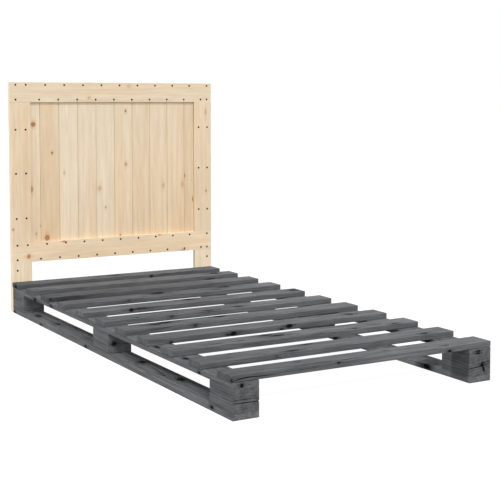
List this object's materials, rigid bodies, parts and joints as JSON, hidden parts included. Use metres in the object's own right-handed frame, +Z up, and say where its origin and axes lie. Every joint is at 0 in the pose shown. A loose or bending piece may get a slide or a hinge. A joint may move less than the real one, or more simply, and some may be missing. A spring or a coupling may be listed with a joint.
{
  "type": "bed frame",
  "caption": "Single pallet bed: low slatted base on blocks, stained grey, with a boarded headboard of pale natural pine framed by rails and stiles.",
  "frame": {"origin": "on the floor, at the middle of the area that the bed covers", "axes": "+X to the right as seen from the foot, +Y along the bed from the foot to the head, +Z up"},
  "size_m": [1, 2.031, 1.022],
  "materials": {
    "grey_pine": "grey stain, matt",
    "natural_pine": "planed, bare",
    "dark_screw": "dark phosphate coating",
    "plated_bolt": "zinc plated"
  },
  "bodies": {
    "root": {"left_runner": "grey_pine", "left_stringer": "grey_pine", "left_foot_block": "grey_pine", "left_middle_block": "grey_pine", "left_head_block": "grey_pine", "right_runner": "grey_pine", "right_stringer": "grey_pine", "right_foot_block": "grey_pine", "right_middle_block": "grey_pine", "right_head_block": "grey_pine", "slat_01": "grey_pine", "slat_02": "grey_pine", "slat_03": "grey_pine", "slat_04": "grey_pine", "slat_05": "grey_pine", "slat_06": "grey_pine", "slat_07": "grey_pine", "slat_08": "grey_pine", "slat_09": "grey_pine", "slat_10": "grey_pine", "slat_11": "grey_pine", "top_rail": "natural_pine", "bottom_rail": "natural_pine", "left_stile": "natural_pine", "right_stile": "natural_pine", "left_leg": "natural_pine", "right_leg": "natural_pine", "left_side_board": "natural_pine", "right_side_board": "natural_pine", "board_01": "natural_pine", "board_02": "natural_pine", "board_03": "natural_pine", "board_04": "natural_pine", "board_05": "natural_pine", "board_06": "natural_pine", "board_07": "natural_pine", "board_08": "natural_pine", "board_09": "natural_pine", "board_10": "natural_pine", "rail_screws": "dark_screw", "stile_screws": "dark_screw", "leg_screws": "dark_screw", "slat_screws": "dark_screw", "block_screws": "dark_screw", "headboard_bolts": "plated_bolt"}
  },
  "joints": []
}
